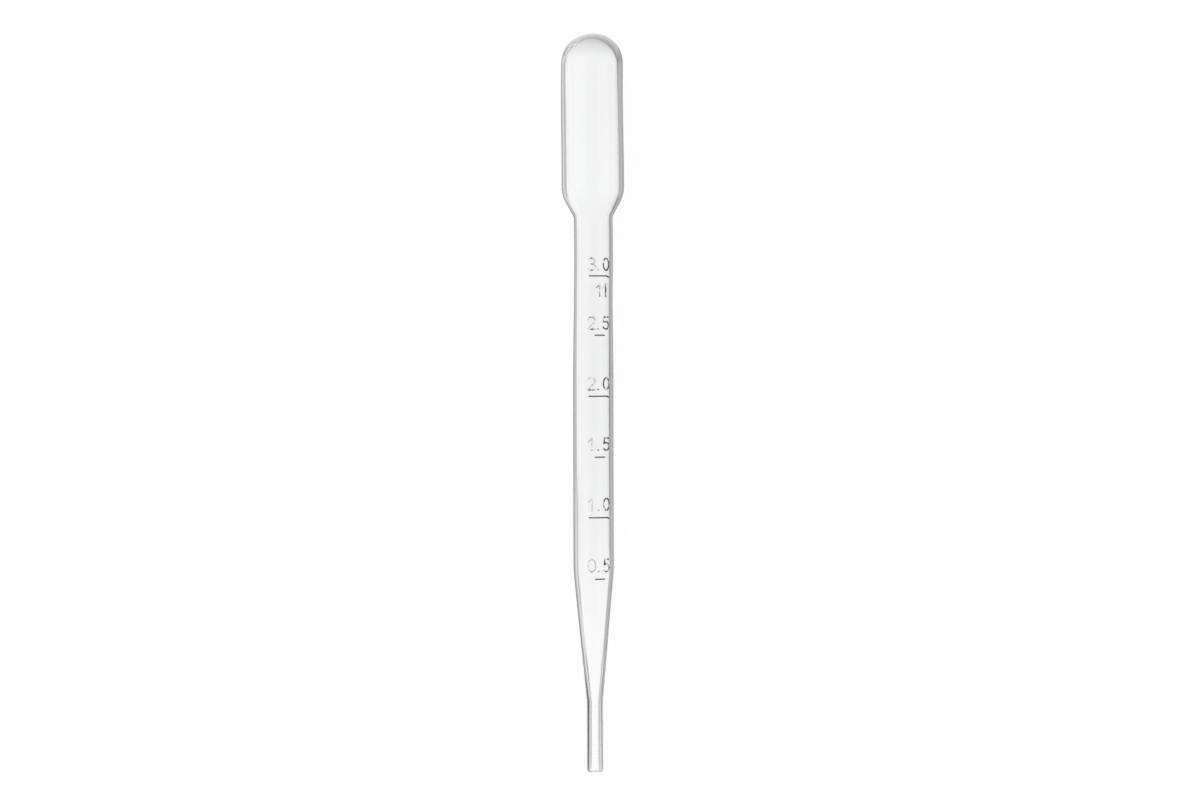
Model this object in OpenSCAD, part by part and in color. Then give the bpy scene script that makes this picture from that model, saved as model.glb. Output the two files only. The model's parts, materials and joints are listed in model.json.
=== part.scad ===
// Graduated dropper pipette, blown in one piece from clear flexible plastic: a squeeze bulb, a stem
// with a raised scale, a long cone and a fine open tip.
// It lies on the plane z = 0 as it comes to rest, on the bulb's shoulder and the stem's lower corner,
// with its bulb towards +Y, its tip towards -Y and its scale uppermost. Sizes are in millimetres.

/* [Overall] */
// Length from the cut end of the tip to the crown of the bulb
overall_l = 160; // [150:0.5:180]

/* [Bulb] */
// Length of the bulb from its crown to the corner where its shoulder begins
bulb_l = 34.8; // [28:0.1:42]
// Outer diameter of the bulb at its shoulder
bulb_d = 13.5; // [13.2:0.1:16]
// How much narrower the bulb is below its crown than at its shoulder
bulb_draft = 0.2; // [0:0.05:0.4]
// Wall thickness of the bulb
bulb_wall = 1.05; // [0.5:0.05:1.4]
// Outer radius of the flattened crown
crown_r = 10.2; // [8.8:0.1:16]
// Outer radius of the edge that turns the crown into the side
crown_edge_r = 6.1; // [3:0.1:6.3]
// Slope of the shoulder, measured from the axis, in degrees
shoulder_slope = 28.5; // [20:0.5:45]
// Outer radius that turns the side into the shoulder
shoulder_r = 7.3; // [2:0.1:9]

/* [Stem] */
// Outer diameter of the stem's collar, below the shoulder
collar_d = 8.38; // [8:0.02:9.4]
// Length of the collar
collar_l = 18.4; // [8:0.1:24]
// Length over which the collar widens into the stem
flare_l = 15.6; // [6:0.1:20]
// Outer diameter of the stem
stem_d = 8.74; // [8:0.02:9.8]
// Inner diameter of the stem and its collar
stem_bore_d = 6.97; // [5.6:0.01:7.2]

/* [Cone and tip] */
// Length of the cone
cone_l = 28.7; // [20:0.1:36]
// Radius that turns the stem into the cone
cone_corner_r = 30; // [5:1:60]
// Length of the straight tip
tip_l = 15.3; // [8:0.1:22]
// Outer diameter of the tip
tip_d = 3.46; // [3:0.02:4.4]
// Inner diameter of the tip
tip_bore_d = 1.5; // [0.8:0.05:2.2]
// Radius on the outer edge of the cut end
tip_edge_r = 0.3; // [0.05:0.05:0.35]

/* [Scale] */
// Volume in millilitres from one mark to the next
step_ml = 0.5; // [0.25:0.25:1]
// Distance of the lowest mark below the stem's lower corner
first_mark_drop = 1.7; // [0.5:0.1:6]
// Length of a mark at a whole millilitre, round the stem
long_mark_l = 5; // [3:0.1:8]
// Length of a mark between whole millilitres, round the stem
short_mark_l = 2.4; // [1:0.1:6]
// Width of a mark at its foot
mark_w = 0.45; // [0.2:0.05:0.8]
// Height of a mark above the stem
mark_h = 0.15; // [0.05:0.01:0.3]
// Turn of the scale towards +X from straight up, as the pipette lies, in degrees
scale_turn = 19.5; // [-90:0.5:90]

/* [Hidden] */
$fn = 96;

// Points in each rounded stretch of the outlines
arc_steps = 12;
// How far a mark's foot reaches into the wall
mark_root = 0.25;
// Facets across a mark's rounded ridge
ridge_steps = 6;

bulb_r = bulb_d / 2;
bulb_top_r = (bulb_d - bulb_draft) / 2;
collar_r = collar_d / 2;
stem_r = stem_d / 2;
stem_bore_r = stem_bore_d / 2;
tip_r = tip_d / 2;
tip_bore_r = tip_bore_d / 2;

// Heights above the cut end, with the pipette upright on its tip
cone_top_z = tip_l + cone_l;
shoulder_z = overall_l - bulb_l;
neck_z = shoulder_z - (bulb_r - collar_r) / tan(shoulder_slope);
collar_z = neck_z - collar_l;
flare_z = collar_z - flare_l;

// Centre of the arc, in the outline, that turns the side into the crown
crown_edge_x = bulb_top_r - crown_edge_r;
crown_centre_z = overall_l - crown_r;
crown_edge_z = crown_centre_z + sqrt(pow(crown_r - crown_edge_r, 2) - pow(crown_edge_x, 2));

// Each inner corner stands one wall in from the outer one, so the wall thins from shoulder to neck
inner_bulb_r = bulb_r - bulb_wall;
inner_shoulder_z = shoulder_z + bulb_wall * tan(shoulder_slope / 2);
inner_neck_z = neck_z + (collar_r - stem_bore_r) * tan(shoulder_slope / 2);
inner_corner_r = cone_corner_r - (stem_r - stem_bore_r);

// The marks stand one step of volume apart in the stem's bore, as many as fit below the neck
mark_pitch = 1000 * step_ml / (PI * pow(stem_bore_r, 2));
first_mark_z = cone_top_z - first_mark_drop;
mark_count = 1 + floor((neck_z - mark_w - first_mark_z) / mark_pitch);

// Outlines as [radius, height, rounding] at each corner, from the tip to the bulb
outer_corners = [
    [tip_r, 0, tip_edge_r],
    [tip_r, tip_l, 0],
    [stem_r, cone_top_z, cone_corner_r],
    [stem_r, flare_z, 0],
    [collar_r, collar_z, 0],
    [collar_r, neck_z, 0],
    [bulb_r, shoulder_z, shoulder_r],
];
inner_corners = [
    [tip_bore_r, 0, 0],
    [tip_bore_r, tip_l, 0],
    [stem_bore_r, cone_top_z, inner_corner_r],
    [stem_bore_r, inner_neck_z, 0],
    [inner_bulb_r, inner_shoulder_z, shoulder_r - bulb_wall],
];

// The resting pose: one plane touches the shoulder's rounding and the stem's lower rounding
stem_side = [stem_r - cone_corner_r, cone_top_z + rounding_l(cone_corner_r, cone_slope())];
bulb_side = [bulb_r - shoulder_r, shoulder_z + rounding_l(shoulder_r, shoulder_slope)];
side_step = bulb_side - stem_side;
rest_tilt = acos((cone_corner_r - shoulder_r) / norm(side_step)) - atan2(side_step[1], side_step[0]);
axis_rest_z = shoulder_r + bulb_side[0] * cos(rest_tilt) - bulb_side[1] * sin(rest_tilt);
rest_y_max = crown_centre_z * cos(rest_tilt) + crown_r;
rest_y_min = tip_edge_r * (cos(rest_tilt) - 1) - (tip_r - tip_edge_r) * sin(rest_tilt);

// Slope of the cone, measured from the axis
function cone_slope() = atan((stem_r - tip_r) / cone_l);

// Distance from a corner to where its rounding starts, for a given turn of the outline
function rounding_l(r, turn) = r * tan(turn / 2);

function flat(p) = [p[0], p[1]];
function unit(v) = v / norm(v);
function polar(angle) = [cos(angle), sin(angle)];
function arc(centre, r, start, sweep) =
    [for (i = [0:arc_steps]) centre + r * polar(start + sweep * i / arc_steps)];

// The corner at p, between a and b, turned by an arc of radius r
function rounded(a, p, b, r) =
    let (
        u = unit(a - p),
        v = unit(b - p),
        half = acos(u * v) / 2,
        centre = p + unit(u + v) * r / sin(half),
        from = p + u * r / tan(half) - centre,
        side = cross(u, v) > 0 ? -1 : 1
    )
    arc(centre, r, atan2(from[1], from[0]), side * (180 - 2 * half));

// The points of an outline: corners from the tip up, before starts it and after follows it
function outline(corners, before, after) = [
    for (i = [0:len(corners) - 1])
        let (
            a = i == 0 ? before : flat(corners[i - 1]),
            b = i == len(corners) - 1 ? after : flat(corners[i + 1])
        )
        each corners[i][2] > 0 ? rounded(a, flat(corners[i]), b, corners[i][2]) : [flat(corners[i])]
];

// The crown from its edge to the axis, one wall further in
function crown(wall) =
    let (turn = acos(crown_edge_x / (crown_r - crown_edge_r)))
    concat(
        arc([crown_edge_x, crown_edge_z], crown_edge_r - wall, 0, turn),
        arc([0, crown_centre_z], crown_r - wall, turn, 90 - turn)
    );

function reverse(list) = [for (i = [len(list) - 1:-1:0]) list[i]];

// Outer radius of the stem and cone at a height
function outer_r(z) = lookup(z, [for (c = outer_corners) [c[1], c[0]]]);

module wall_of_revolution() {
    outside = crown(0);
    inside = crown(bulb_wall);
    rotate_extrude()
        polygon(concat(
            outline(outer_corners, [0, 0], outside[0]),
            outside,
            reverse(inside),
            reverse(outline(inner_corners, [0, 0], inside[0]))
        ));
}

// One raised mark round the side that faces -Y: a low rounded ridge with its foot in the wall
module mark(z, length) {
    angle = length / outer_r(z) * 180 / PI;
    ridge = [
        for (i = [0:ridge_steps])
            let (
                turn = 180 * i / ridge_steps,
                at_z = z - mark_w / 2 * cos(turn)
            )
            [outer_r(at_z) + mark_h * sin(turn), at_z]
    ];
    foot = [for (side = [mark_w / 2, -mark_w / 2]) [outer_r(z) - mark_root, z + side]];
    rotate([0, 0, -90 - angle / 2])
        rotate_extrude(angle = angle)
            polygon(concat(ridge, foot));
}

module scale_marks() {
    for (i = [0:mark_count - 1]) {
        volume = (i + 1) * step_ml;
        mark(first_mark_z + i * mark_pitch, volume == floor(volume) ? long_mark_l : short_mark_l);
    }
}

module lying_at_rest() {
    translate([0, -(rest_y_max + rest_y_min) / 2, axis_rest_z])
        rotate([rest_tilt - 90, 0, 0])
            rotate([0, 0, scale_turn])
                children();
}

module pipette() {
    color([0.93, 0.95, 0.96])
        lying_at_rest() {
            wall_of_revolution();
            scale_marks();
        }
}

pipette();
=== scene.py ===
"""A clear plastic dropper pipette lying on a pale table, seen from straight above.

The wall is turned from its outline by a Geometry Nodes tree, which also raises the marks and the
numbers of the scale on it. Sizes are in metres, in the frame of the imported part.
"""
import json
import math

import bmesh
import bpy
from bpy.props import FloatProperty, FloatVectorProperty, IntProperty, PointerProperty
from mathutils import Matrix, Vector


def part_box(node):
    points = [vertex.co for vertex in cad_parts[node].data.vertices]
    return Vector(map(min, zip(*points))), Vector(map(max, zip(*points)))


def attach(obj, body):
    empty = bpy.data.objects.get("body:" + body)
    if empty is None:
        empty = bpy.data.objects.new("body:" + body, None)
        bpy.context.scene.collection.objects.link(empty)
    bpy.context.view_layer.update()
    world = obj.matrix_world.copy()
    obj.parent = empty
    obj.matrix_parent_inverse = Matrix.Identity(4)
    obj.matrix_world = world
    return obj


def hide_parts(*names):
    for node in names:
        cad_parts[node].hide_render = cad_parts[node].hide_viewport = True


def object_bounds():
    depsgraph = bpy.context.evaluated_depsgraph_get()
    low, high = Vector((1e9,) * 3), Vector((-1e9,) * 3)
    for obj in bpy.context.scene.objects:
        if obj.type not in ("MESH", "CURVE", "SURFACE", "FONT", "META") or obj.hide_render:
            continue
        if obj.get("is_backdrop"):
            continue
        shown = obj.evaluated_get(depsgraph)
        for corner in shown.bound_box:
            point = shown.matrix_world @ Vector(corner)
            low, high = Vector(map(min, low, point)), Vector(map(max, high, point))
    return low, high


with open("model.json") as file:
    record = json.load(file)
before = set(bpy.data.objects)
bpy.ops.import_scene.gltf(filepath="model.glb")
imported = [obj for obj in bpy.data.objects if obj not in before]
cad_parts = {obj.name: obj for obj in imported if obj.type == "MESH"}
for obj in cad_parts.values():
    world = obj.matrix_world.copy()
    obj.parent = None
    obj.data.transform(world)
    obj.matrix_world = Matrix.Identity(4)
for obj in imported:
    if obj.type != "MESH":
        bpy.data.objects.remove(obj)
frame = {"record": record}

bl_info = {
    "name": "Dropper pipette",
    "version": (1, 0, 0),
    "blender": (4, 5, 0),
    "location": "3D View > Sidebar > Pipette",
    "description": "Builds a graduated one-piece dropper pipette and a plain table to show it on",
    "category": "Add Mesh",
}

MM = 0.001
NODE = "pipette"

# ---------------------------------------------------------------------------------------------
# Sizes and colours


def length(name, description, millimetres):
    """A length property, with its default given in millimetres."""
    return FloatProperty(
        name=name, description=description, default=millimetres * MM, min=0.0, unit="LENGTH", precision=5
    )


def angle(name, description, degrees):
    """An angle property, with its default given in degrees."""
    return FloatProperty(
        name=name, description=description, default=math.radians(degrees), subtype="ANGLE"
    )


def share(name, description, default, most=1.0):
    """A plain number from nothing to most."""
    return FloatProperty(name=name, description=description, default=default, min=0.0, max=most, precision=4)


def colour(name, description, default):
    """A colour property."""
    return FloatVectorProperty(
        name=name, description=description, default=default, size=3, min=0.0, max=1.0, subtype="COLOR"
    )


class PipetteWall(bpy.types.PropertyGroup):
    """Sizes of the blown wall, from the crown of the bulb to the cut end of the tip."""

    overall_length: length("Overall length", "From the cut end to the crown of the bulb", 160)
    bulb_length: length("Bulb length", "From the crown to the corner of the shoulder", 34.8)
    bulb_diameter: length("Bulb diameter", "Outer diameter at the shoulder", 13.5)
    bulb_draft: length("Bulb draft", "How much narrower the bulb is below its crown", 0.2)
    bulb_wall: length("Bulb wall", "Wall thickness of the bulb", 1.05)
    crown_wall: length("Crown wall", "Wall thickness at the top of the crown", 1.15)
    crown_radius: length("Crown radius", "Outer radius of the flattened crown", 10.2)
    crown_edge: length("Crown edge", "Radius that turns the crown into the side", 6.4)
    shoulder_slope: angle("Shoulder slope", "Slope of the shoulder, measured from the axis", 28.5)
    shoulder_radius: length("Shoulder radius", "Radius that turns the side into the shoulder", 7.3)
    neck_radius: length("Neck radius", "Radius in the corner between shoulder and collar", 1.6)
    collar_diameter: length("Collar diameter", "Outer diameter of the collar", 8.38)
    collar_length: length("Collar length", "Length of the collar below the shoulder", 18.4)
    flare_length: length("Flare length", "Length over which the collar widens into the stem", 15.6)
    stem_diameter: length("Stem diameter", "Outer diameter of the stem", 8.74)
    stem_bore: length("Stem bore", "Inner diameter of the stem and its collar", 6.97)
    cone_length: length("Cone length", "Length of the cone", 28.7)
    cone_corner: length("Cone corner", "Radius that turns the stem into the cone", 30)
    tip_length: length("Tip length", "Length of the straight tip", 15.3)
    tip_diameter: length("Tip diameter", "Outer diameter of the tip", 3.46)
    tip_bore: length("Tip bore", "Inner diameter of the tip", 1.5)
    tip_edge: length("Tip edge", "Radius on the outer edge of the cut end", 0.3)


class PipetteScale(bpy.types.PropertyGroup):
    """Sizes of the raised scale."""

    step_ml: FloatProperty(name="Step", description="Millilitres from mark to mark", default=0.5, min=0.1)
    first_drop: length("First mark", "Distance of the lowest mark below the stem's lower corner", 1.7)
    long_mark: length("Long mark", "Length of a mark at a whole millilitre", 5.0)
    short_mark: length("Short mark", "Length of a mark between whole millilitres", 2.4)
    mark_width: length("Mark width", "Width of a mark at its foot", 0.38)
    mark_height: length("Mark height", "Height of a mark above the stem", 0.15)
    mark_hook: length("Mark hook", "How far the right end of a long mark turns down", 0.33)
    turn: angle("Turn", "Turn of the scale towards +X from straight up", 19.5)
    numeral_height: length("Number height", "Height of the numbers' centre lines", 2.6)
    numeral_rise: length("Number rise", "From the lowest mark to the foot of its number", 1.62)
    numeral_sink: length("Number sink", "How much closer each next number is to its mark", 0.08)
    stroke_width: length("Stroke width", "Width of a number's strokes", 0.42)
    stroke_height: length("Stroke height", "Height of a number's strokes above the stem", 0.12)
    mould_number: IntProperty(name="Mould number", description="Number of the mould", default=11, min=0)


class PipettePlastic(bpy.types.PropertyGroup):
    """Colours and finish of the plastic."""

    tint: colour("Tint", "Colour of the plastic", (0.989, 0.992, 0.991))
    depth_tint: colour("Depth tint", "Colour that light takes deep in the wall", (0.88, 0.92, 0.90))
    depth: FloatProperty(name="Density", description="How fast light takes it, per metre", default=22.0)
    # Painted shade: the colour of a raised stroke where it is painted dark in place of its relief's shading
    stroke_tint: colour("Stroke tint", "Colour of light through a raised stroke", (0.0, 0.0, 0.0))
    refraction: FloatProperty(name="Index", description="Refractive index of the plastic", default=1.51)
    smooth: share("Smoothest", "Roughness where the surface is clearest", 0.012)
    hazy: share("Haziest", "Roughness where the surface is cloudiest", 0.05)
    # Painted glow: brightness the plastic gives off where light runs along inside the wall
    leak: share("Leak", "Light that leaks from the wall where it runs along inside", 0.25)


class PipetteStudio(bpy.types.PropertyGroup):
    """Table, light and camera."""

    table_size: length("Table size", "Side of the square table", 6000)
    table_colour: colour("Table colour", "Colour of the table", (0.12, 0.12, 0.12))
    table_lift: share("Table lift", "Brightness added where the table is seen directly", 0.93)
    mirror_lift: share("Mirror lift", "Brightness added where it is seen in a reflection", 0.12)
    end_lift: share("End lift", "Brightness added where it is seen in the ends of the pipette", 0.95)
    room: share("Room", "Brightness of the room", 1.0, most=4.0)
    room_edge: share("Room edge", "Brightness of the room seen through the edge of a wall", 0.3)
    lamp_power: FloatProperty(name="Lamp power", description="Power of the soft lamp in watts", default=1.0)
    lamp_width: length("Lamp width", "Width of the soft lamp", 900)
    lamp_length: length("Lamp length", "Length of the soft lamp", 1200)
    lamp_place: FloatVectorProperty(
        name="Lamp place", description="Where the lamp hangs", default=(-0.9, 0.25, 0.75), unit="LENGTH"
    )
    camera_height: length("Camera height", "Height of the camera above the table", 600)
    view_height: length("View height", "Height of the picture at the stem's axis", 173.4)
    view_right: length("View right", "How far the camera stands to the right of the middle", 1.41)
    view_up: length("View up", "How far the camera stands towards the bulb", 0.87)
    view_roll: angle("View roll", "Turn of the picture against the pipette", -0.23)


GROUPS = {
    "pipette_wall": PipetteWall,
    "pipette_scale": PipetteScale,
    "pipette_plastic": PipettePlastic,
    "pipette_studio": PipetteStudio,
}

# ---------------------------------------------------------------------------------------------
# Outline of the wall, as points (radius, height above the cut end)

# Longest steps along it: on an arc, on a straight run, and where the run carries marks or numbers
ARC_STEP = math.radians(6)
PLAIN_STEP = 2.5 * MM
FINE_STEP = 0.075 * MM
# Radii of the inner edge of the cut end, of the corners of the tip and of those of the flare
RIM_EDGE = 0.06 * MM
TIP_CORNER = 4 * MM
FLARE_CORNER = 40 * MM
# The hollow's crown is turned by this share of the hollow's radius
INNER_EDGE_SHARE = 0.99
# A rise or a remainder below this counts as none
TINY = 1e-9
# The blown tube is slightly bowed: (share of its length from the cut end, millimetres to the right)
BOW = (
    (0.0, 0.03), (0.11, 0.03), (0.23, -0.10), (0.38, -0.09), (0.5, -0.06), (0.58, -0.01), (0.65, 0.05),
    (0.69, 0.13), (0.73, 0.14), (0.77, 0.04), (0.8, 0.05), (0.85, 0.005), (0.915, -0.09), (0.95, -0.05),
    (0.975, 0.01), (1.0, 0.19),
)
# The same for the hollow inside it, whose wall is thicker at the right of the crown
HOLLOW_BOW = BOW[:-3] + ((0.95, -0.15), (0.975, -0.14), (1.0, 0.0))


def arc(centre, radius, start, sweep, step=ARC_STEP):
    """Points on an arc, its ends included."""
    count = max(2, math.ceil(abs(sweep) / step))
    turns = (start + sweep * i / count for i in range(count + 1))
    return [(centre[0] + radius * math.cos(t), centre[1] + radius * math.sin(t)) for t in turns]


def rounded(before, corner, after, radius):
    """The corner between two straight runs, turned by an arc."""
    p = Vector(corner)
    u = (Vector(before) - p).normalized()
    v = (Vector(after) - p).normalized()
    half = u.angle(v) / 2
    centre = p + (u + v).normalized() * (radius / math.sin(half))
    start = p + u * (radius / math.tan(half)) - centre
    side = -1 if u.x * v.y - u.y * v.x > 0 else 1
    sweep = math.pi - 2 * half
    return arc(centre, radius, math.atan2(start.y, start.x), side * sweep, min(ARC_STEP, sweep / 3))


def rounded_run(corners, before, after):
    """Points along a run of corners (radius, height, rounding)."""
    points = []
    spots = [before] + [c[:2] for c in corners] + [after]
    for i, corner in enumerate(corners):
        points += rounded(spots[i], corner[:2], spots[i + 2], corner[2])
    return points


def crown_run(side, top, radius, edge):
    """A crown of a radius from its side to the axis, turned into the side by an edge."""
    edge_x = side - edge
    centre_z = top - radius
    reach = radius - edge
    edge_z = centre_z + math.sqrt(reach**2 - edge_x**2)
    turn = math.acos(edge_x / reach)
    corner = arc((edge_x, edge_z), edge, 0, turn)
    return corner + arc((0, centre_z), radius, turn, math.pi / 2 - turn)[1:]


def heights(wall):
    """Heights of the corners above the cut end, by name."""
    shoulder = wall.overall_length - wall.bulb_length
    neck = shoulder - (wall.bulb_diameter - wall.collar_diameter) / 2 / math.tan(wall.shoulder_slope)
    collar = neck - wall.collar_length
    # how much higher a corner of the inside is, for each length of wall
    raised = math.tan(wall.shoulder_slope / 2)
    return {
        "cone": wall.tip_length + wall.cone_length,
        "flare": collar - wall.flare_length,
        "collar": collar,
        "neck": neck,
        "shoulder": shoulder,
        "inner_shoulder": shoulder + wall.bulb_wall * raised,
        "inner_neck": neck + (wall.collar_diameter - wall.stem_bore) / 2 * raised,
    }


def outer_run(wall):
    """The outside, from the cut end to the crown."""
    at = heights(wall)
    stem, collar, bulb, tip = (
        d / 2 for d in (wall.stem_diameter, wall.collar_diameter, wall.bulb_diameter, wall.tip_diameter)
    )
    corners = [
        (tip, 0, wall.tip_edge),
        (tip, wall.tip_length, TIP_CORNER),
        (stem, at["cone"], wall.cone_corner),
        (stem, at["flare"], FLARE_CORNER),
        (collar, at["collar"], FLARE_CORNER),
        (collar, at["neck"], wall.neck_radius),
        (bulb, at["shoulder"], wall.shoulder_radius),
    ]
    side = bulb - wall.bulb_draft / 2
    crown = crown_run(side, wall.overall_length, wall.crown_radius, wall.crown_edge)
    return rounded_run(corners, (0, 0), crown[0]) + crown


def inner_run(wall):
    """The inside, from the cut end to the crown."""
    at = heights(wall)
    bore, tip = wall.stem_bore / 2, wall.tip_bore / 2
    bulb = wall.bulb_diameter / 2 - wall.bulb_wall
    corners = [
        (tip, 0, RIM_EDGE),
        (tip, wall.tip_length, TIP_CORNER),
        (bore, at["cone"], wall.cone_corner - wall.stem_diameter / 2 + bore),
        (bore, at["inner_neck"], wall.neck_radius),
        (bulb, at["inner_shoulder"], wall.shoulder_radius - wall.bulb_wall),
    ]
    side = bulb - wall.bulb_draft / 2
    top = wall.overall_length - wall.crown_wall
    crown = crown_run(side, top, wall.crown_radius - wall.crown_wall, INNER_EDGE_SHARE * side)
    return rounded_run(corners, (tip + wall.tip_edge, 0), crown[0]) + crown


def stepped(points, fine=()):
    """The same line with its long stretches divided, finely where fine gives (low, high, step)."""
    out = points[:1]
    for p, q in zip(points[:-1], points[1:]):
        stops = {0.0, 1.0}
        rise = q[1] - p[1]
        if abs(rise) > TINY:
            for low, high, _ in fine:
                stops |= {t for t in ((low - p[1]) / rise, (high - p[1]) / rise) if 0 < t < 1}
        stops = sorted(stops)
        for a, b in zip(stops[:-1], stops[1:]):
            middle = p[1] + rise * (a + b) / 2
            step = min([s for low, high, s in fine if low < middle < high], default=PLAIN_STEP)
            count = max(1, math.ceil(math.dist(p, q) * (b - a) / step - TINY))
            for i in range(1, count + 1):
                t = a + (b - a) * i / count
                out.append((p[0] + (q[0] - p[0]) * t, p[1] + rise * t))
    return out


# ---------------------------------------------------------------------------------------------
# The scale, laid out flat: across the stem (metres round it) and up it (metres above the cut end)

# How far each mark stands above its even place, in millimetres from the lowest up
MARK_SHIFTS = (0.0, 0.19, 0.14, 0.17, 0.2, -0.16)
# Points of a mark's centre line, and the share of its width by which the round ends lengthen it
MARK_POINTS = 21
ROUND_ENDS = 0.6
# Where a long mark starts to turn down, as a share of its length from its middle
HOOK_START = 0.3
# Width of a character as a share of its height, and middles of the characters, in degrees round
# the stem from the middle of the scale
CHARACTER_WIDTH = 0.64
FIRST_DIGIT = -24.7
POINT = -5.5
LAST_DIGIT = 20.8
MOULD_DIGITS = (-2.0, 18.4)
# From the top mark, at its even place, down to the head of the mould number
MOULD_GAP = 1.95 * MM
# Longest step of a digit's arcs, in degrees
DIGIT_STEP = 12
# How far fine rows reach past a mark, as a share of its width, and their step, as a share of the
# numbers'; how far they reach below and above a number
MARK_MARGIN = 0.6
MARK_FINENESS = 0.6
NUMBER_MARGINS = (0.2 * MM, 0.25 * MM)


def digit_arc(x, y, rx, ry, start, end):
    """An elliptical arc in a digit, from start to end in degrees."""
    count = max(2, math.ceil(abs(end - start) / DIGIT_STEP))
    turns = [math.radians(start + (end - start) * i / count) for i in range(count + 1)]
    return [(x + rx * math.cos(t), y + ry * math.sin(t)) for t in turns]


# Centre lines of each character, as shares of its width and height
STROKES = {
    "0": [digit_arc(0.5, 0.5, 0.48, 0.5, 90, 450)],
    "1": [[(0.1, 0.7), (0.57, 1.0), (0.57, 0.0)]],
    "2": [digit_arc(0.5, 0.72, 0.47, 0.28, 165, -35) + [(0.05, 0.0), (1.0, 0.0)]],
    "3": [digit_arc(0.47, 0.76, 0.42, 0.24, 155, -90), digit_arc(0.47, 0.26, 0.5, 0.26, 90, -150)],
    "5": [[(0.92, 1.0), (0.17, 1.0), (0.1, 0.56)] + digit_arc(0.47, 0.32, 0.5, 0.32, 120, -150)],
    ".": [[(0.45, 0.03), (0.55, 0.03)]],
}


def scale_layout(wall, scale):
    """(height of the first mark, even distance between marks, number of marks)."""
    at = heights(wall)
    cubic_metres = scale.step_ml * 1e-6
    pitch = cubic_metres / (math.pi * (wall.stem_bore / 2) ** 2)
    first = at["cone"] - scale.first_drop
    return first, pitch, 1 + math.floor((at["neck"] - scale.mark_width - first) / pitch)


def mark_place(wall, scale, i):
    """Height of a mark above the cut end, counted from the lowest."""
    first, pitch, _ = scale_layout(wall, scale)
    return first + i * pitch + (MARK_SHIFTS[i] * MM if i < len(MARK_SHIFTS) else 0.0)


def numeral_foot(wall, scale, i):
    """Height of the foot of a number, counted from the lowest."""
    return mark_place(wall, scale, i) + scale.numeral_rise - i * scale.numeral_sink


def mould_foot(wall, scale):
    """Height of the foot of the mould number."""
    first, pitch, count = scale_layout(wall, scale)
    return first + (count - 1) * pitch - MOULD_GAP - scale.numeral_height


def numeral_lines(wall, scale):
    """Every number's centre lines on the unrolled stem."""
    stem_r = wall.stem_diameter / 2
    centre = scale.turn * stem_r
    size = scale.numeral_height
    wide = CHARACTER_WIDTH * size
    lines = []

    def write(character, degrees, foot):
        left = centre + math.radians(degrees) * stem_r - wide / 2
        for stroke in STROKES[character]:
            lines.append([(left + x * wide, foot + y * size) for x, y in stroke])

    for i in range(scale_layout(wall, scale)[2]):
        foot = numeral_foot(wall, scale, i)
        whole, part = f"{(i + 1) * scale.step_ml:.1f}".split(".")
        write(whole, FIRST_DIGIT, foot)
        write(".", POINT, foot)
        write(part, LAST_DIGIT, foot)
    for digit, degrees in zip(str(scale.mould_number), MOULD_DIGITS):
        write(digit, degrees, mould_foot(wall, scale))
    return lines


def fine_bands(wall, scale):
    """The stretches of the stem that carry marks or numbers, with the step that they need."""
    margin = MARK_MARGIN * scale.mark_width
    below, above = NUMBER_MARGINS
    bands = []
    feet = [mould_foot(wall, scale)]
    for i in range(scale_layout(wall, scale)[2]):
        mark = mark_place(wall, scale, i)
        bands.append((mark - margin - scale.mark_hook, mark + margin, MARK_FINENESS * FINE_STEP))
        feet.append(numeral_foot(wall, scale, i))
    return bands + [(foot - below, foot + scale.numeral_height + above, FINE_STEP) for foot in feet]


# ---------------------------------------------------------------------------------------------
# Small helpers for node trees and meshes

# The height on an offset's curve that stands for no offset
CURVE_MIDDLE = 0.5


def put(tree, kind, inputs=None, **settings):
    """A new node, with its settings made and its inputs set to values or linked to sockets."""
    node = tree.nodes.new(kind)
    for name, value in settings.items():
        setattr(node, name, value)
    for place, value in (inputs or {}).items():
        if isinstance(value, bpy.types.NodeSocket):
            tree.links.new(value, node.inputs[place])
        else:
            node.inputs[place].default_value = value
    return node


def calc(tree, operation, *terms):
    """The result of a math node."""
    return put(tree, "ShaderNodeMath", dict(enumerate(terms)), operation=operation).outputs[0]


def vector(tree, x=0.0, y=0.0, z=0.0):
    """A vector from its three parts."""
    return put(tree, "ShaderNodeCombineXYZ", {"X": x, "Y": y, "Z": z}).outputs[0]


def parts(tree, whole):
    """The three parts of a vector."""
    return put(tree, "ShaderNodeSeparateXYZ", {0: whole}).outputs


def blend(tree, share_of_second, first, second):
    """A value between two others."""
    inputs = {"Factor": share_of_second, 2: first, 3: second}
    return put(tree, "ShaderNodeMix", inputs, data_type="FLOAT").outputs[0]


def mapped(tree, value, source, target=(0.0, 1.0), kind="LINEAR"):
    """A value carried from one range into another and kept inside it."""
    names = ("Value", "From Min", "From Max", "To Min", "To Max")
    inputs = dict(zip(names, (value, *source, *target)))
    return put(tree, "ShaderNodeMapRange", inputs, interpolation_type=kind).outputs[0]


def reached(tree, value, zone):
    """0 before a zone, 1 beyond it."""
    return mapped(tree, value, zone, kind="SMOOTHSTEP")


def levels(tree, value, stops):
    """Brightness that runs through stops of (value, brightness)."""
    low, high = stops[0][0], stops[-1][0]
    ramp = put(tree, "ShaderNodeValToRGB", {"Fac": mapped(tree, value, (low, high))})
    elements = ramp.color_ramp.elements
    for stop in stops[1:-1]:
        elements.new((stop[0] - low) / (high - low))
    for element, stop in zip(elements, stops):
        element.position = (stop[0] - low) / (high - low)
        element.color = (stop[1], stop[1], stop[1], 1.0)
    return ramp.outputs["Color"]


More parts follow.
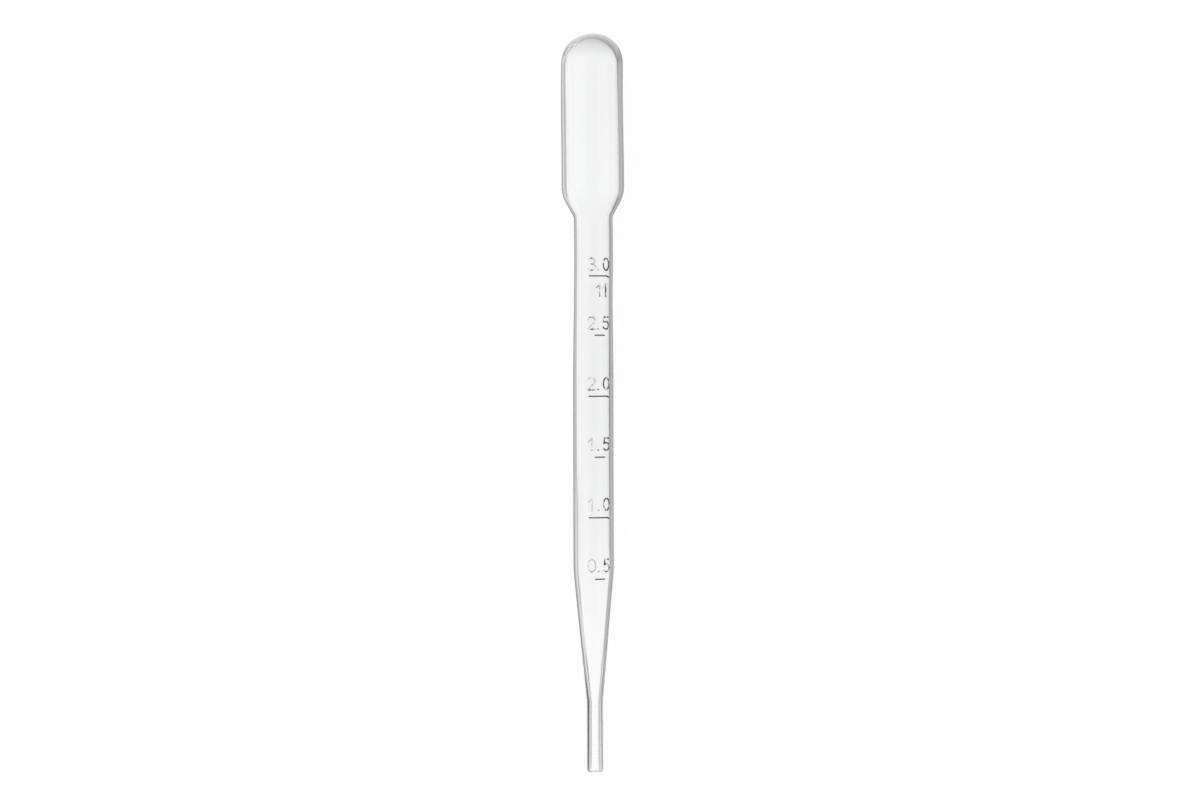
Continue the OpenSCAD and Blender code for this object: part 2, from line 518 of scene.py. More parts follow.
def offset_curve(tree, place, stops, handle="AUTO"):
    """An offset, at most half a millimetre, that runs through stops of (place, millimetres)."""
    node = put(tree, "ShaderNodeFloatCurve", {"Value": place})
    curve = node.mapping.curves[0]
    for stop in stops[1:-1]:
        curve.points.new(stop[0], CURVE_MIDDLE)
    for point, stop in zip(curve.points, stops):
        point.location = (stop[0], CURVE_MIDDLE + stop[1])
        point.handle_type = handle
    node.mapping.update()
    return calc(tree, "MULTIPLY", calc(tree, "SUBTRACT", node.outputs[0], CURVE_MIDDLE), MM)


def noise(tree, place, detail, scale=1.0):
    """A soft random value from 0 to 1."""
    inputs = {"Vector": place, "Scale": scale, "Detail": detail}
    return put(tree, "ShaderNodeTexNoise", inputs).outputs["Fac"]


def line_mesh(name, lines):
    """A mesh of open lines of points (x, y, z)."""
    points, edges = [], []
    for line in lines:
        edges += [(len(points) + i, len(points) + i + 1) for i in range(len(line) - 1)]
        points += line
    mesh = bpy.data.meshes.new(name)
    mesh.from_pydata(points, edges, [])
    return mesh


def linked_object(name, content):
    """A new object, linked to the scene."""
    thing = bpy.data.objects.new(name, content)
    bpy.context.scene.collection.objects.link(thing)
    return thing


# ---------------------------------------------------------------------------------------------
# The tree that turns the wall and raises the scale

# Columns of the turned wall: close together under the scale, wider apart round the rest
FINE_COLUMNS = 92
PLAIN_COLUMNS = 64
SCALE_START = math.radians(-26)
SCALE_SWEEP = math.radians(96)
# Roundness of a ridge: 1 makes a parabola, less makes it fuller
RIDGE_POWER = 0.8
# Nearer to a stroke than this, a point is on its centre line
ON_LINE = 0.001 * MM
# Points closer than this become one, at the seam and on the axis
WELD = 0.002 * MM
# What the mesh says at each point: height of the marks and of the numbers, from 0 to 1, how upright
# the nearest stroke of a number is, and the turn about the axis
ATTRIBUTES = ("mark", "stroke", "upright", "around")

# The tree's inputs, by the kind of their sockets
TREE_INPUTS = {
    "NodeSocketGeometry": ("Outline",),
    "NodeSocketObject": ("Numbers",),
    "NodeSocketMaterial": ("Material",),
    "NodeSocketInt": ("Fine Columns", "Plain Columns", "Mark Count"),
    "NodeSocketFloat": (
        "Length", "Tilt", "Stem Radius", "Scale Start", "Scale Sweep", "Scale Turn",
        "First Mark", "Mark Pitch", "Long Mark", "Short Mark",
        "Mark Width", "Mark Height", "Mark Hook", "Stroke Width", "Stroke Height",
    ),
    "NodeSocketVector": ("Tip",),
}


def moved(tree, geometry, offset):
    """A geometry with every point moved by an offset."""
    return put(tree, "GeometryNodeSetPosition", {"Geometry": geometry, "Offset": offset}).outputs[0]


def mark_lines(tree, given):
    """The marks' centre lines on the unrolled stem, a line for each step of volume."""
    middle = calc(tree, "MULTIPLY", given["Scale Turn"], given["Stem Radius"])
    index = put(tree, "GeometryNodeInputIndex").outputs[0]
    # an even row of places, each then moved a little up or down
    row = {
        "Count": given["Mark Count"],
        "Start Location": vector(tree, middle, given["First Mark"]),
        "Offset": vector(tree, y=given["Mark Pitch"]),
    }
    places = put(tree, "GeometryNodeMeshLine", row, mode="OFFSET").outputs[0]
    last = calc(tree, "MAXIMUM", calc(tree, "SUBTRACT", given["Mark Count"], 1.0), 1.0)
    stops = [(i / (len(MARK_SHIFTS) - 1), shift) for i, shift in enumerate(MARK_SHIFTS)]
    shift = offset_curve(tree, calc(tree, "DIVIDE", index, last), stops, "VECTOR")
    places = moved(tree, places, vector(tree, y=shift))
    # a straight line at each of them, less the ridge's round ends, long for every second one
    step = 1 / (MARK_POINTS - 1)
    points = {"Count": MARK_POINTS, "Start Location": (-0.5, 0.0, 0.0), "Offset": (step, 0.0, 0.0)}
    line = put(tree, "GeometryNodeMeshLine", points, mode="OFFSET").outputs[0]
    odd = calc(tree, "MODULO", index, 2.0)
    reach = mapped(tree, odd, (0.0, 1.0), (given["Short Mark"], given["Long Mark"]))
    reach = calc(tree, "SUBTRACT", reach, calc(tree, "MULTIPLY", given["Mark Width"], ROUND_ENDS))
    copies = {"Points": places, "Instance": line, "Scale": vector(tree, reach, 1.0, 1.0)}
    lines = put(tree, "GeometryNodeInstanceOnPoints", copies)
    real = put(tree, "GeometryNodeRealizeInstances", {"Geometry": lines.outputs[0]}).outputs[0]
    # the right end of a long mark turns down
    across = parts(tree, put(tree, "GeometryNodeInputPosition").outputs[0])["X"]
    ahead = calc(tree, "DIVIDE", calc(tree, "SUBTRACT", across, middle), given["Long Mark"])
    turning = calc(tree, "POWER", mapped(tree, ahead, (HOOK_START, 0.5)), 2.0)
    drop = calc(tree, "MULTIPLY", turning, given["Mark Hook"])
    return moved(tree, real, vector(tree, y=calc(tree, "MULTIPLY", drop, -1.0)))


def row_and_turn(tree, given, rows):
    """The row of a point in the grid, and its turn about the axis."""
    index = put(tree, "GeometryNodeInputIndex").outputs[0]
    column = calc(tree, "FLOOR", calc(tree, "DIVIDE", calc(tree, "ADD", index, 0.5), rows))
    row = calc(tree, "SUBTRACT", index, calc(tree, "MULTIPLY", column, rows))
    fine = calc(tree, "MINIMUM", column, given["Fine Columns"])
    plain = calc(tree, "SUBTRACT", column, fine)
    fine_step = calc(tree, "DIVIDE", given["Scale Sweep"], given["Fine Columns"])
    rest = calc(tree, "SUBTRACT", 2 * math.pi, given["Scale Sweep"])
    plain_step = calc(tree, "DIVIDE", rest, given["Plain Columns"])
    turn = calc(tree, "ADD", given["Scale Start"], calc(tree, "MULTIPLY", fine, fine_step))
    return row, calc(tree, "ADD", turn, calc(tree, "MULTIPLY", plain, plain_step))


def nearest_line(tree, lines, spot):
    """The place on the nearest of some lines, and the distance to it."""
    inputs = {0: lines, "Sample Position": spot}
    near = put(tree, "GeometryNodeProximity", inputs, target_element="EDGES").outputs
    return near["Position"], near["Distance"]


def ridge(tree, distance, width):
    """Height of a rounded ridge, 0 to 1, at a distance from its centre line."""
    across = calc(tree, "MINIMUM", calc(tree, "DIVIDE", distance, calc(tree, "MULTIPLY", width, 0.5)), 1.0)
    bowl = calc(tree, "SUBTRACT", 1.0, calc(tree, "MULTIPLY", across, across))
    return calc(tree, "POWER", bowl, RIDGE_POWER)


def uprightness(tree, place, distance, spot):
    """1 beside an upright stroke, 0 beside a level one."""
    apart = put(tree, "ShaderNodeVectorMath", {0: place, 1: spot}, operation="SUBTRACT").outputs[0]
    across = calc(tree, "ABSOLUTE", parts(tree, apart)["X"])
    return calc(tree, "DIVIDE", across, calc(tree, "MAXIMUM", distance, ON_LINE))


def turned_wall_tree():
    """The Geometry Nodes tree that turns an outline about its axis and raises the scale on it."""
    tree = bpy.data.node_groups.new("Turned wall with scale", "GeometryNodeTree")
    tree.interface.new_socket("Geometry", in_out="OUTPUT", socket_type="NodeSocketGeometry")
    for kind, names in TREE_INPUTS.items():
        for name in names:
            tree.interface.new_socket(name, in_out="INPUT", socket_type=kind)
    given = put(tree, "NodeGroupInput").outputs

    # a grid with a row for each point of the outline
    size = put(tree, "GeometryNodeAttributeDomainSize", {"Geometry": given["Outline"]}, component="MESH")
    rows = size.outputs["Point Count"]
    columns = calc(tree, "ADD", given["Fine Columns"], given["Plain Columns"])
    counts = {"Vertices X": calc(tree, "ADD", columns, 1.0), "Vertices Y": rows}
    grid = put(tree, "GeometryNodeMeshGrid", counts)
    row, turn = row_and_turn(tree, given, rows)

    # the outline's radius and height at this row, and whether it is on the outside
    position = put(tree, "GeometryNodeInputPosition").outputs[0]
    sampled = {"Geometry": given["Outline"], "Value": position, "Index": row}
    spot = put(tree, "GeometryNodeSampleIndex", sampled, data_type="FLOAT_VECTOR")
    radius, outside, height = parts(tree, spot.outputs[0])[:3]

    # ridges over the lines of the scale, on the unrolled stem
    flat = vector(tree, calc(tree, "MULTIPLY", turn, given["Stem Radius"]), height)
    numbers = put(tree, "GeometryNodeObjectInfo", {"Object": given["Numbers"]}).outputs["Geometry"]
    _, from_mark = nearest_line(tree, mark_lines(tree, given), flat)
    on_stroke, from_stroke = nearest_line(tree, numbers, flat)
    mark = calc(tree, "MULTIPLY", ridge(tree, from_mark, given["Mark Width"]), outside)
    stroke = calc(tree, "MULTIPLY", ridge(tree, from_stroke, given["Stroke Width"]), outside)
    upright = uprightness(tree, on_stroke, from_stroke, flat)
    mark_lift = calc(tree, "MULTIPLY", mark, given["Mark Height"])
    lift = calc(tree, "MAXIMUM", mark_lift, calc(tree, "MULTIPLY", stroke, given["Stroke Height"]))

    # place every point round the axis
    radius = calc(tree, "ADD", radius, lift)
    share_up = calc(tree, "DIVIDE", height, given["Length"])
    hollow_aside, skin_aside = (offset_curve(tree, share_up, stops) for stops in (HOLLOW_BOW, BOW))
    aside = blend(tree, outside, hollow_aside, skin_aside)
    place_x = calc(tree, "ADD", calc(tree, "MULTIPLY", radius, calc(tree, "SINE", turn)), aside)
    place_y = calc(tree, "MULTIPLY", radius, calc(tree, "MULTIPLY", calc(tree, "COSINE", turn), -1.0))
    skin = grid.outputs["Mesh"]
    for name, value in zip(ATTRIBUTES, (mark, stroke, upright, turn)):
        inputs = {"Geometry": skin, "Name": name, "Value": value}
        skin = put(tree, "GeometryNodeStoreNamedAttribute", inputs, data_type="FLOAT").outputs[0]
    round_axis = {"Geometry": skin, "Position": vector(tree, place_x, place_y, height)}
    placed = put(tree, "GeometryNodeSetPosition", round_axis)
    closed = put(tree, "GeometryNodeMergeByDistance", {"Geometry": placed.outputs[0], "Distance": WELD})
    smooth = put(tree, "GeometryNodeSetShadeSmooth", {"Geometry": closed.outputs[0], "Shade Smooth": True})

    # lay it down as it rests
    lean = vector(tree, calc(tree, "SUBTRACT", given["Tilt"], math.pi / 2))
    resting = {"Geometry": smooth.outputs[0], "Translation": given["Tip"], "Rotation": lean}
    laid = put(tree, "GeometryNodeTransform", resting)
    real = put(tree, "GeometryNodeRealizeInstances", {"Geometry": laid.outputs[0]})
    dressing = {"Geometry": real.outputs[0], "Material": given["Material"]}
    dressed = put(tree, "GeometryNodeSetMaterial", dressing)
    put(tree, "NodeGroupOutput", {0: dressed.outputs[0]})
    return tree


# ---------------------------------------------------------------------------------------------
# The plastic

# Faint lines along the tube and a soft unevenness from blowing: how fine they are (per metre,
# across and along) and how high the lines are against the unevenness
LINE_FINENESS = (900.0, 12.0, 900.0)
LINE_HEIGHT = 0.12
WAVE_FINENESS = (160.0, 45.0, 160.0)
# A smudge of small folds at the left of the crown, where the blown bulb was closed
FOLD_PLACE = (-4.4 * MM, 76.9 * MM, 10.4 * MM)
FOLD_REACH = (3.4 * MM, 0.8 * MM)
FOLD_FINENESS = 1100.0
FOLD_HEIGHT = 16.0
RELIEF_DEPTH = 0.03 * MM
RELIEF_STRENGTH = 0.35
# Cloudy patches: how fine they are, and the noise from the clearest to the cloudiest
CLOUD_FINENESS = 260.0
CLOUD_RANGE = (0.35, 0.7)
# A mark and a number's stroke are painted dark, as shade in place of their relief's shading, from the first
# of these shares of their height on, and in full from the second
MARK_CORE = (0.5, 0.66)
STROKE_CORE = (0.15, 0.7)
# Turns about the axis at the left and the right of the numbers, and how dark the painted shade on their
# level and upright strokes is there
NUMBER_SPAN = (-0.2, 0.6)
LEVEL_SHADE = (0.85, 0.95)
UPRIGHT_SHADE = (0.33, 0.9)
# Patches where the numbers' painted shade is lighter or darker: how fine they are, the noise where it is
# lightest and darkest, and the factor on the shade there
PATCH_FINENESS = 1500.0
PATCH_RANGE = (0.4, 0.53)
PATCH_SHADE = (0.3, 1.2)
# Light that was mirrored more often than this runs along inside the wall, where the plastic gets a painted
# glow
GLOW_BOUNCES = 3.5


def new_material(name):
    """An empty node material and its tree."""
    material = bpy.data.materials.new(name)
    material.use_nodes = True
    material.node_tree.nodes.clear()
    return material, material.node_tree


def relief(tree, place):
    """The normal of a surface with faint lines, waves and folds."""
    drawn = put(tree, "ShaderNodeMapping", {"Vector": place, "Scale": LINE_FINENESS}).outputs[0]
    wavy = put(tree, "ShaderNodeMapping", {"Vector": place, "Scale": WAVE_FINENESS}).outputs[0]
    lines = calc(tree, "MULTIPLY", noise(tree, drawn, 3.0), LINE_HEIGHT)
    even = calc(tree, "ADD", lines, noise(tree, wavy, 1.0))
    away = put(tree, "ShaderNodeVectorMath", {0: place, 1: FOLD_PLACE}, operation="DISTANCE")
    patch = reached(tree, away.outputs["Value"], FOLD_REACH)
    folds = calc(tree, "MULTIPLY", noise(tree, place, 2.0, FOLD_FINENESS), patch)
    height = calc(tree, "ADD", even, calc(tree, "MULTIPLY", folds, FOLD_HEIGHT))
    inputs = {"Strength": RELIEF_STRENGTH, "Distance": RELIEF_DEPTH, "Height": height}
    return put(tree, "ShaderNodeBump", inputs).outputs[0]


def held_light(tree, place):
    """Painted shade on the raised strokes in place of their relief's shading, on the numbers in patches and
    by the way a stroke runs.
    """
    mark, stroke, upright, around = (
        put(tree, "ShaderNodeAttribute", attribute_name=name).outputs["Fac"] for name in ATTRIBUTES
    )
    direction_shades = [mapped(tree, around, NUMBER_SPAN, ends) for ends in (LEVEL_SHADE, UPRIGHT_SHADE)]
    direction_shade = blend(tree, upright, *direction_shades)
    # random patches where the painted shade is lighter or darker
    left = mapped(tree, noise(tree, place, 1.0, PATCH_FINENESS), PATCH_RANGE, PATCH_SHADE)
    patchy_shade = calc(tree, "MULTIPLY", direction_shade, left)
    numbers = calc(tree, "MULTIPLY", mapped(tree, stroke, STROKE_CORE), patchy_shade)
    return calc(tree, "MAXIMUM", mapped(tree, mark, MARK_CORE), numbers)


def plastic_material(look):
    """Clear, slightly milky plastic with faint lines from its drawing and blowing, painted shade on its
    raised strokes and a painted glow where light runs along inside the wall.
    """
    material, tree = new_material("Clear plastic")
    material.cycles.emission_sampling = "NONE"
    place = put(tree, "ShaderNodeTexCoord").outputs["Object"]
    # the plastic's own tint, painted dark over the raised strokes as their shade
    tints = {"Factor": held_light(tree, place), 6: (*look.tint, 1.0), 7: (*look.stroke_tint, 1.0)}
    tint = put(tree, "ShaderNodeMix", tints, data_type="RGBA").outputs[2]
    haze = mapped(tree, noise(tree, place, 4.0, CLOUD_FINENESS), CLOUD_RANGE, (look.smooth, look.hazy))
    # a painted glow on the plastic where light runs along inside the wall
    bounces = put(tree, "ShaderNodeLightPath").outputs["Glossy Depth"]
    leak = calc(tree, "MULTIPLY", calc(tree, "GREATER_THAN", bounces, GLOW_BOUNCES), look.leak)
    surface = put(
        tree,
        "ShaderNodeBsdfPrincipled",
        {
            "Base Color": tint,
            "Roughness": haze,
            "IOR": look.refraction,
            "Transmission Weight": 1.0,
            "Emission Color": leak,
            "Emission Strength": 1.0,
            "Normal": relief(tree, place),
        },
    )
    inner = {"Color": (*look.depth_tint, 1.0), "Density": look.depth}
    depth = put(tree, "ShaderNodeVolumeAbsorption", inner)
    put(tree, "ShaderNodeOutputMaterial", {"Surface": surface.outputs[0], "Volume": depth.outputs[0]})
    return material


# ---------------------------------------------------------------------------------------------
# The table and the room, which the clear walls show in bands of different brightness

# Brightness of the table seen through the edge of a wall, as (distance from the axis, brightness):
# in millimetres for the bulb and the stem, in radii of the tube for the stem's foot and the cone
LEFT_BULB = ((0, 0.35), (4, 0.16), (7, 0.46), (10, 0.88), (13, 0.38), (16, 0.52), (19, 0.9), (26, 1.0))
LEFT_STEM = ((0, 0.38), (3, 0.38), (5, 0.42), (7, 0.55), (9.5, 0.48), (11.5, 0.55), (13, 0.9), (14, 1.0))
LEFT_FOOT = (
    (0, 0.4), (0.85, 0.24), (1.05, 0.33), (1.3, 0.5), (1.6, 0.64), (1.9, 0.74), (2.25, 0.76), (2.5, 0.6),
    (2.75, 0.38), (3.1, 0.2), (3.5, 0.2), (4.5, 0.4),
)
LEFT_CONE = (
    (0, 0.4), (0.85, 0.26), (1.05, 0.33), (1.28, 0.5), (1.52, 0.65), (1.8, 0.74), (2.4, 0.7), (3.1, 0.68),
    (5, 0.7),
)
RIGHT_BULB = ((0, 0.35), (4, 0.35), (7, 0.42), (10, 0.48), (13, 0.45), (16, 0.36), (20, 0.2), (26, 0.3))
RIGHT_STEM = ((0, 0.38), (4, 0.42), (7, 0.5), (9, 0.48), (11, 0.2), (13, 0.05), (20, 0.05))
RIGHT_CONE = (
    (0, 0.4), (0.9, 0.4), (1.2, 0.41), (1.7, 0.46), (2.2, 0.44), (2.6, 0.45), (3.2, 0.56), (4.5, 0.74),
)
# For each side, the stretches below the bulb: where one takes over (millimetres along the pipette),
# the unit of its distances, and its levels
LEFT_STRETCHES = (
    ((45, 40), "mm", LEFT_STEM),
    ((-14, -24), "radii", LEFT_FOOT),
    ((-42, -50), "radii", LEFT_CONE),
)
RIGHT_STRETCHES = (((45, 40), "mm", RIGHT_STEM), ((-31, -40), "radii", RIGHT_CONE))
# The same round the crown, in millimetres, and the share by which it is darker at the right and
# brighter at the left
CROWN_LEVELS = ((0, 0.55), (5, 0.57), (9, 0.54), (13, 0.48), (17, 0.36), (21, 0.32), (26, 0.5))
CROWN_SIDE = 0.4
# The same beside the solid walls of the tip, as (millimetres from left to right, brightness)
TIP_LEVELS = (
    (-11.6, 0.15), (-8, 0.3), (-5.6, 0.8), (-3, 0.75), (-2.2, 0.4), (-1.5, 0.25), (-1.1, 0.35), (-0.8, 0.8),
    (0, 0.95), (0.7, 0.5), (1.1, 0.08), (1.5, 0.05), (2.3, 0.15), (3, 0.55), (5.6, 0.75), (11.6, 0.35),
)
# Brightness of the table seen through both walls, as (millimetres towards the crown, brightness)
THROUGH_LEVELS = (
    (-66, 0.97), (-50, 0.95), (-30, 0.89), (-15, 0.865), (20, 0.85), (38, 0.865), (46, 0.92), (66, 0.89),
    (76.5, 0.89), (80, 0.74), (84, 0.48),
)
# Light with more crossings than this has gone through both walls
BOTH_WALLS = 2.5
# Where the cone lies along the pipette
CONE_SPAN = (-64 * MM, -36 * MM)
# Where the levels of the tip take over, and where the lift of the two ends does
TIP_ZONE = (-54 * MM, -60 * MM)
END_ZONE = (-79.6 * MM, -80.4 * MM)
CROWN_ZONE = (79 * MM, 82 * MM)
# How far past the start of the crown its levels take over
TURN_ZONE = (1 * MM, 4 * MM)
# Nearer to the axis than this, a place has no side
NEAR_AXIS = 0.1 * MM
# Brightness of the room by direction, from the left (-1) over straight up (0) to the right (1)
ROOM_LEVELS = ((-1.0, 0.8), (-0.5, 0.7), (0.0, 0.58), (0.5, 0.45), (0.87, 0.6), (1.0, 0.7))


def ways_of_seeing(tree):
    """1 for what is seen directly, through both walls of the tube, and through the edge of a wall."""
    path = put(tree, "ShaderNodeLightPath").outputs
    far = calc(tree, "GREATER_THAN", path["Transmission Depth"], BOTH_WALLS)
    through = calc(tree, "MULTIPLY", path["Is Transmission Ray"], far)
    edge = calc(tree, "SUBTRACT", path["Is Transmission Ray"], through)
    return path["Is Camera Ray"], through, edge


def side_brightness(tree, along, measured, bulb, stretches):
    """Brightness on one side of the tube, from the bulb's levels down through its stretches."""
    shade = levels(tree, measured["mm"], bulb)
    for zone, unit, stops in stretches:
        below = reached(tree, along, (zone[0] * MM, zone[1] * MM))
        shade = blend(tree, below, shade, levels(tree, measured[unit], stops))
    return shade


def edge_brightness(tree, place, turn_y, radii):
    """Painted brightness of a place on the table, as the edges of the walls show it.

    Beyond turn_y the bulb closes, so distances are taken from there. radii are the cone's at its ends.
    """
    past = calc(tree, "MAXIMUM", calc(tree, "SUBTRACT", place["Y"], turn_y), 0.0)
    away = vector(tree, place["X"], past)
    distance = put(tree, "ShaderNodeVectorMath", {0: away}, operation="LENGTH").outputs["Value"]
    # -1 to the left of the tube, 1 to its right
    side = calc(tree, "DIVIDE", place["X"], calc(tree, "MAXIMUM", distance, NEAR_AXIS))
    units = {"mm": MM, "radii": mapped(tree, place["Y"], CONE_SPAN, radii)}
    measured = {unit: calc(tree, "DIVIDE", distance, size) for unit, size in units.items()}
    left = side_brightness(tree, place["Y"], measured, LEFT_BULB, LEFT_STRETCHES)
    right = side_brightness(tree, place["Y"], measured, RIGHT_BULB, RIGHT_STRETCHES)
    body = blend(tree, reached(tree, side, (-1, 1)), left, right)
    dimmer = calc(tree, "SUBTRACT", 1.0, calc(tree, "MULTIPLY", side, CROWN_SIDE))
    crown = calc(tree, "MULTIPLY", levels(tree, measured["mm"], CROWN_LEVELS), dimmer)
    body = blend(tree, reached(tree, past, TURN_ZONE), body, crown)
    tip = levels(tree, calc(tree, "DIVIDE", place["X"], MM), TIP_LEVELS)
    return blend(tree, reached(tree, place["Y"], TIP_ZONE), body, tip)


def table_material(studio, turn_y, radii):
    """A pale matt table that looks white and keeps the shadow of what lies on it, with light and shade
    painted on its glow where it is seen through the pipette.
    """
    material, tree = new_material("Pale table")
    matt = put(tree, "ShaderNodeBsdfDiffuse", {"Color": (*studio.table_colour, 1.0)})
    place = parts(tree, put(tree, "ShaderNodeTexCoord").outputs["Object"])
    shown, through, edge = ways_of_seeing(tree)
    end = reached(tree, place["Y"], END_ZONE)
    mirror = blend(tree, reached(tree, place["Y"], CROWN_ZONE), studio.mirror_lift, studio.end_lift)
    both_walls = levels(tree, calc(tree, "DIVIDE", place["Y"], MM), THROUGH_LEVELS)
    edge_of_wall = blend(tree, end, edge_brightness(tree, place, turn_y, radii), studio.end_lift)
    glow = blend(tree, shown, blend(tree, end, mirror, studio.end_lift), studio.table_lift)
    glow = blend(tree, through, glow, both_walls)
    glow = blend(tree, edge, glow, edge_of_wall)
    light = put(tree, "ShaderNodeEmission", {"Color": (1.0, 1.0, 1.0, 1.0), "Strength": glow})
    both = put(tree, "ShaderNodeAddShader", {0: matt.outputs[0], 1: light.outputs[0]})
    put(tree, "ShaderNodeOutputMaterial", {"Surface": both.outputs[0]})
    return material


def room_light(studio):
    """The room: softly brighter to the left, white where it is seen directly or through the tube, and
    painted darker through the edge of a wall.
    """
    world = bpy.data.worlds.new("Plain room")
    world.use_nodes = True
    tree = world.node_tree
    tree.nodes.clear()
    way = parts(tree, put(tree, "ShaderNodeTexCoord").outputs["Generated"])
    shown, through, edge = ways_of_seeing(tree)
    level = calc(tree, "MULTIPLY", levels(tree, way["X"], ROOM_LEVELS), studio.room)
    mirrored = blend(tree, edge, level, studio.room_edge)
    strength = blend(tree, calc(tree, "ADD", shown, through), mirrored, 1.0)
    glow = put(tree, "ShaderNodeBackground", {"Color": (1.0, 1.0, 1.0, 1.0), "Strength": strength})
    put(tree, "ShaderNodeOutputWorld", {"Surface": glow.outputs[0]})
    return world


# ---------------------------------------------------------------------------------------------
# The pipette

BOX_TOLERANCE = 0.15 * MM


def resting_axis():
    """The centre of the cut end and the direction from there to the crown, from the tip's mount."""
    mounts = frame["record"]["mounts"]
    bore = next((m for m in mounts if m["name"] == "tip_bore"), None)
    if bore is None:
        raise RuntimeError("The record has no mount named tip_bore, which places the pipette.")
    outward = Vector(bore["axis"])
    end = Vector(bore["pos_m"]) + outward * bore["dims"]["length_mm"] * MM / 2
    return end, -outward


def tree_values(wall, scale, numbers, material):
    """What the tree is given, by the names of its inputs."""
    end, along = resting_axis()
    first, pitch, count = scale_layout(wall, scale)
    return {
        "Numbers": numbers,
        "Material": material,
        "Fine Columns": FINE_COLUMNS,
        "Plain Columns": PLAIN_COLUMNS,
        "Scale Start": SCALE_START,
        "Scale Sweep": SCALE_SWEEP,
        "Scale Turn": scale.turn,
        "Stem Radius": wall.stem_diameter / 2,
        "First Mark": first,
        "Mark Pitch": pitch,
        "Mark Count": count,
        "Long Mark": scale.long_mark,
        "Short Mark": scale.short_mark,
        "Mark Width": scale.mark_width,
        "Mark Height": scale.mark_height,
        "Mark Hook": scale.mark_hook,
        "Length": wall.overall_length,
        "Stroke Width": scale.stroke_width,
        "Stroke Height": scale.stroke_height,
        "Tilt": math.asin(along.z),
        "Tip": end,
    }


def mesh_from_tree(source, tree, values):
    """The plain mesh that a tree makes of an object."""
    modifier = source.modifiers.new("Turn", "NODES")
    modifier.node_group = tree
    for item in tree.interface.items_tree:
        if item.in_out == "INPUT" and item.name in values:
            modifier[item.identifier] = values[item.name]
    made = source.evaluated_get(bpy.context.evaluated_depsgraph_get())
    mesh = bpy.data.meshes.new_from_object(made)
    source.modifiers.remove(modifier)
    return mesh


def check_piece(piece):
    """Stop if the turned wall isn't closed or doesn't fill the box of the solid that it stands for."""
    if not piece.data.polygons:
        raise RuntimeError("The wall came out empty.")
    skin = bmesh.new()
    skin.from_mesh(piece.data)
    closed = all(edge.is_contiguous for edge in skin.edges)
    volume = skin.calc_volume(signed=True)
    skin.free()
    if not closed:
        raise RuntimeError("The wall has an open or folded edge.")
    if volume <= 0:
        raise RuntimeError("The wall is turned inside out.")
    places = [vertex.co for vertex in piece.data.vertices]
    for furthest, wanted in zip((min, max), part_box(NODE)):
        made = Vector([furthest(place[axis] for place in places) for axis in range(3)])
        if (made - Vector(wanted)).length > BOX_TOLERANCE:
            raise RuntimeError(f"The wall reaches {tuple(made)}, where the solid reaches {tuple(wanted)}.")


class PIPETTE_OT_build(bpy.types.Operator):
    """Turn the pipette's wall from its outline and raise the scale on it"""

    bl_idname = "pipette.build"
    bl_label = "Build the pipette"

    def execute(self, context):
        scene = context.scene
        wall, scale = scene.pipette_wall, scene.pipette_scale
        outside = stepped(outer_run(wall), fine_bands(wall, scale))
        inside = stepped(inner_run(wall))
        # from the inner crown down the inside and up the outside, which turns the faces outwards
        rows = [(r, 0.0, z) for r, z in reversed(inside)] + [(r, 1.0, z) for r, z in outside]
        source = linked_object("Wall outline", line_mesh("Wall outline", [rows]))
        flat = [[(x, y, 0.0) for x, y in line] for line in numeral_lines(wall, scale)]
        numbers = linked_object("Scale numbers", line_mesh("Scale numbers", flat))
        values = tree_values(wall, scale, numbers, plastic_material(scene.pipette_plastic))
        mesh = mesh_from_tree(source, turned_wall_tree(), values)
        mesh.name = "Blown pipette"
        bpy.data.objects.remove(source)
        bpy.data.objects.remove(numbers)
        piece = linked_object("blown_pipette", mesh)
        check_piece(piece)
        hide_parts(NODE)
        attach(piece, "root")
        return {"FINISHED"}


# ---------------------------------------------------------------------------------------------
# The stage

# Width of the picture as a share of its height
PICTURE_SHAPE = 1.5


def add_table(wall, studio):
    """A wide table under the pipette."""
    half = studio.table_size / 2
    corners = [(-half, -half, 0.0), (half, -half, 0.0), (half, half, 0.0), (-half, half, 0.0)]
    mesh = bpy.data.meshes.new("Table")
    mesh.from_pydata(corners, [], [(0, 1, 2, 3)])
    turn_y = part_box(NODE)[1][1] - wall.bulb_diameter / 2
    radii = (wall.tip_diameter / 2, wall.stem_diameter / 2)
    mesh.materials.append(table_material(studio, turn_y, radii))
    linked_object("table", mesh)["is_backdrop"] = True


def add_lamp(studio):
    """A large soft lamp above and to the left."""
    lamp = bpy.data.lights.new("Soft lamp", "AREA")
    lamp.shape = "RECTANGLE"
    lamp.size = studio.lamp_width
    lamp.size_y = studio.lamp_length
    lamp.energy = studio.lamp_power
    thing = linked_object("Soft lamp", lamp)
    thing.location = studio.lamp_place
    thing.rotation_euler = (-thing.location).to_track_quat("-Z", "Y").to_euler()


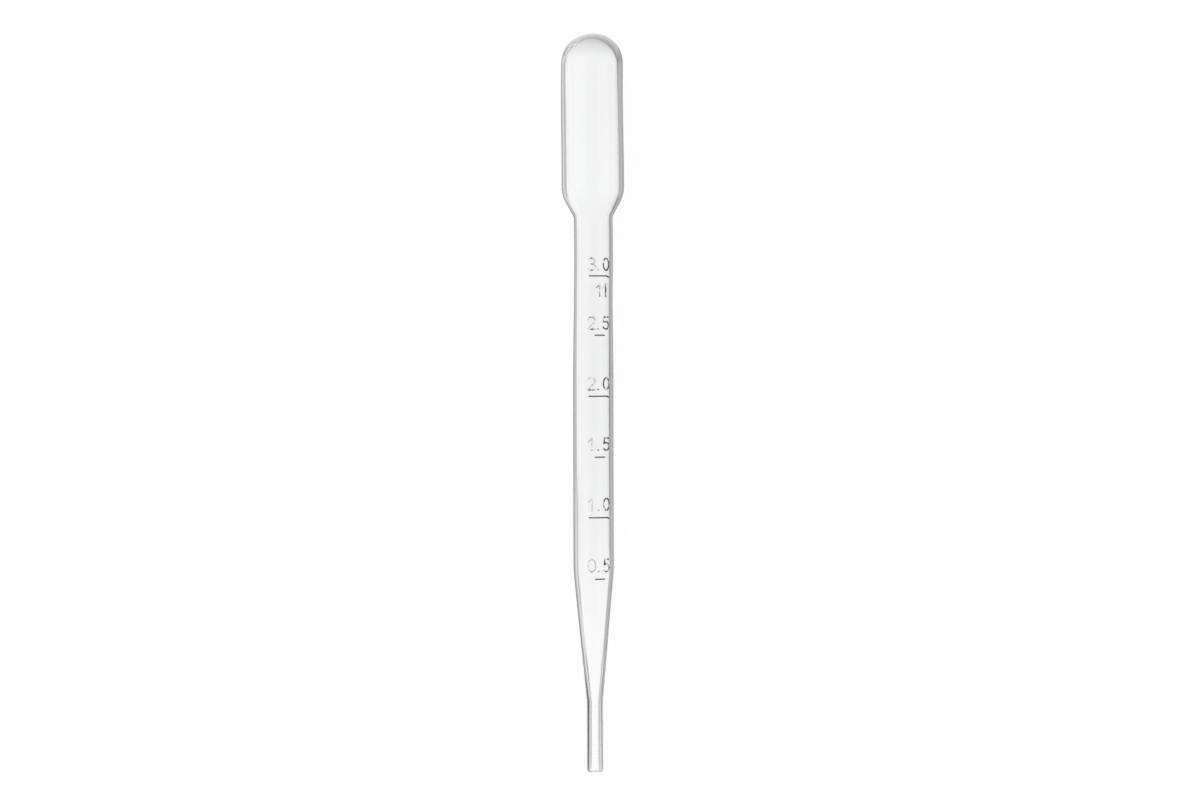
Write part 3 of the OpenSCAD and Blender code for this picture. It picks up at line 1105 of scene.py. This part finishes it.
def add_camera(scene, studio):
    """A camera that looks straight down on the pipette."""
    end, along = resting_axis()
    low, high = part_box(NODE)
    axis_height = end.z + along.z / along.y * ((low[1] + high[1]) / 2 - end.y)
    camera = bpy.data.cameras.new("Camera")
    view_width = studio.view_height * PICTURE_SHAPE
    camera.lens = camera.sensor_width * (studio.camera_height - axis_height) / view_width
    thing = linked_object("Camera", camera)
    place = Matrix.Translation((studio.view_right, studio.view_up, studio.camera_height))
    thing.matrix_world = place @ Matrix.Rotation(studio.view_roll, 4, "Z")
    scene.camera = thing


class PIPETTE_OT_stage(bpy.types.Operator):
    """Add the table, the room's light, the soft lamp and the camera"""

    bl_idname = "pipette.stage"
    bl_label = "Add the stage"

    def execute(self, context):
        scene = context.scene
        studio = scene.pipette_studio
        scene.view_settings.view_transform = "Standard"
        scene.world = room_light(studio)
        add_table(scene.pipette_wall, studio)
        add_lamp(studio)
        add_camera(scene, studio)
        return {"FINISHED"}


# ---------------------------------------------------------------------------------------------
# The panel, and what Blender is told


class PIPETTE_PT_panel(bpy.types.Panel):
    """Sizes and buttons of the pipette"""

    bl_idname = "PIPETTE_PT_panel"
    bl_label = "Pipette"
    bl_space_type = "VIEW_3D"
    bl_region_type = "UI"
    bl_category = "Pipette"

    def draw(self, context):
        column = self.layout.column()
        for operator in OPERATORS:
            column.operator(operator.bl_idname)
        for name, group in GROUPS.items():
            settings = getattr(context.scene, name)
            box = self.layout.box()
            for prop in group.__annotations__:
                box.prop(settings, prop)


OPERATORS = (PIPETTE_OT_build, PIPETTE_OT_stage)
CLASSES = (*GROUPS.values(), *OPERATORS, PIPETTE_PT_panel)


def register():
    """Make the classes and their settings known to Blender."""
    for one in CLASSES:
        bpy.utils.register_class(one)
    for name, group in GROUPS.items():
        setattr(bpy.types.Scene, name, PointerProperty(type=group))


def unregister():
    """Take them away again."""
    for name in GROUPS:
        delattr(bpy.types.Scene, name)
    for one in reversed(CLASSES):
        bpy.utils.unregister_class(one)


def plain(bounds):
    """Two corners as plain lists of numbers."""
    return [[float(n) for n in corner] for corner in bounds]


def main():
    """Build the pipette and its stage."""
    register()
    cad_box = plain(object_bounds())
    bpy.ops.pipette.build()
    bpy.ops.pipette.stage()
    sizes = {"cad": cad_box, "visual": plain(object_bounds())}


if __name__ == "__main__":
    main()
